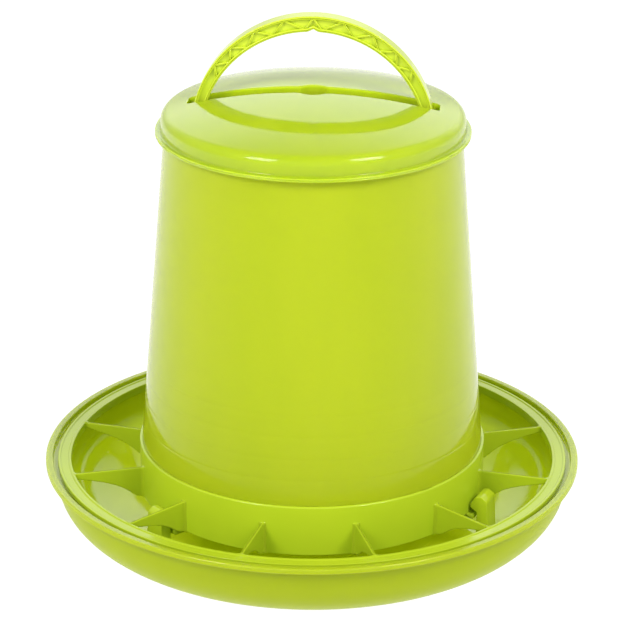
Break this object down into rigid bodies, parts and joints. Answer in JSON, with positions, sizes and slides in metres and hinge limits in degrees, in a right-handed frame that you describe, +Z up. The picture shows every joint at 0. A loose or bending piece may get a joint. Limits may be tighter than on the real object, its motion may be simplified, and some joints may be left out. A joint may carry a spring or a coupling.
{
  "type": "hopper feeder",
  "caption": "Gravity hopper feeder for poultry: round pan with a spoked anti-waste grille, tapered hopper, slotted lid that lifts off over a fixed arch handle.",
  "frame": {"origin": "centre of the pan's base, on the surface the feeder stands on", "axes": "+Z up along the hopper's axis, X along the handle, so the hand passes through it along Y"},
  "size_m": [0.3, 0.3, 0.3003],
  "materials": {
    "pan_plastic": "glossy moulded polypropylene, lime green",
    "grille_plastic": "glossy moulded polypropylene, lime green",
    "hopper_plastic": "glossy moulded polypropylene, lime green",
    "lid_plastic": "glossy moulded polypropylene, lime green",
    "handle_plastic": "glossy moulded polypropylene, lime green"
  },
  "bodies": {
    "base": {"pan": "pan_plastic", "grille_ring": "grille_plastic", "grille_fins": "grille_plastic", "grille_hub": "grille_plastic"},
    "hopper": {"hopper": "hopper_plastic", "handle": "handle_plastic"},
    "lid": {"lid": "lid_plastic"},
    "latch_right": {"latch_clip_right": "pan_plastic"},
    "latch_left": {"latch_clip_left": "pan_plastic"},
    "latch_back": {"latch_clip_back": "pan_plastic"}
  },
  "joints": [
    {"name": "hopper_twist", "type": "hinge", "parent": "base", "child": "hopper", "pos_m": [0, 0, 0.0299], "axis": [0, 0, 1], "range_deg": [0, 20]},
    {"name": "lid_lift", "type": "slide", "parent": "hopper", "child": "lid", "axis": [0, 0, 1], "range_m": [0, 0.085]},
    {"name": "latch_right_flex", "type": "hinge", "parent": "base", "child": "latch_right", "pos_m": [0.10003, -0.03289, 0.0117], "axis": [0.3123, 0.95, 0], "range_deg": [0, 8], "stiffness_Nm_per_rad": 2},
    {"name": "latch_left_flex", "type": "hinge", "parent": "base", "child": "latch_left", "pos_m": [-0.0785, -0.07019, 0.0117], "axis": [0.6665, -0.7455, 0], "range_deg": [0, 8], "stiffness_Nm_per_rad": 2},
    {"name": "latch_back_flex", "type": "hinge", "parent": "base", "child": "latch_back", "pos_m": [-0.02153, 0.10307, 0.0117], "axis": [-0.9789, -0.2045, 0], "range_deg": [0, 8], "stiffness_Nm_per_rad": 2}
  ]
}
